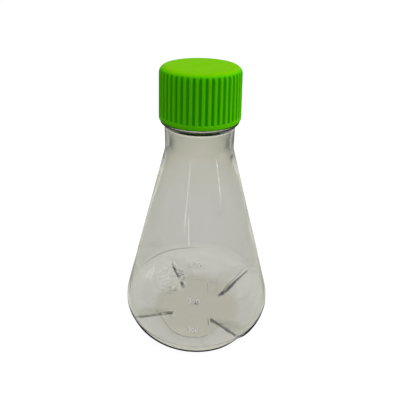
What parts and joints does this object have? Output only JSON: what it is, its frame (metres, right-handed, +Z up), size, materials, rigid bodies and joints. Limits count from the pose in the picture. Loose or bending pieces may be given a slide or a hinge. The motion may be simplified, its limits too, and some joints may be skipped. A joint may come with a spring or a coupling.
{
  "type": "baffled shake flask",
  "caption": "Clear conical shake flask for growing cells, with V-shaped baffles folded up into its base and a ribbed screw cap over a sealing liner.",
  "frame": {"origin": "middle of the ring that the flask stands on, on the flask's axis", "axes": "+Z up the axis from the base to the cap; a baffle lies 33.5 degrees from +X and every 90 degrees on from it"},
  "size_m": [0.103, 0.103, 0.1805],
  "materials": {
    "clear_wall": "gloss",
    "cap_green": "satin",
    "liner_white": "matte"
  },
  "bodies": {
    "flask": {"flask_body": "clear_wall"},
    "liner": {"seal_liner": "liner_white"},
    "cap": {"screw_cap": "cap_green"}
  },
  "joints": [
    {"name": "cap_lift", "type": "slide", "parent": "flask", "child": "liner", "axis": [0, 0, 1], "range_m": [0, 0.0281]},
    {"name": "cap_turn", "type": "hinge", "parent": "liner", "child": "cap", "pos_m": [0, 0, 0.1778], "axis": [0, 0, 1], "range_deg": [0, 2520]}
  ],
  "couplings": [
    {"joint": "cap_lift", "follows": "cap_turn", "m_per_rad": 0.00063662}
  ]
}
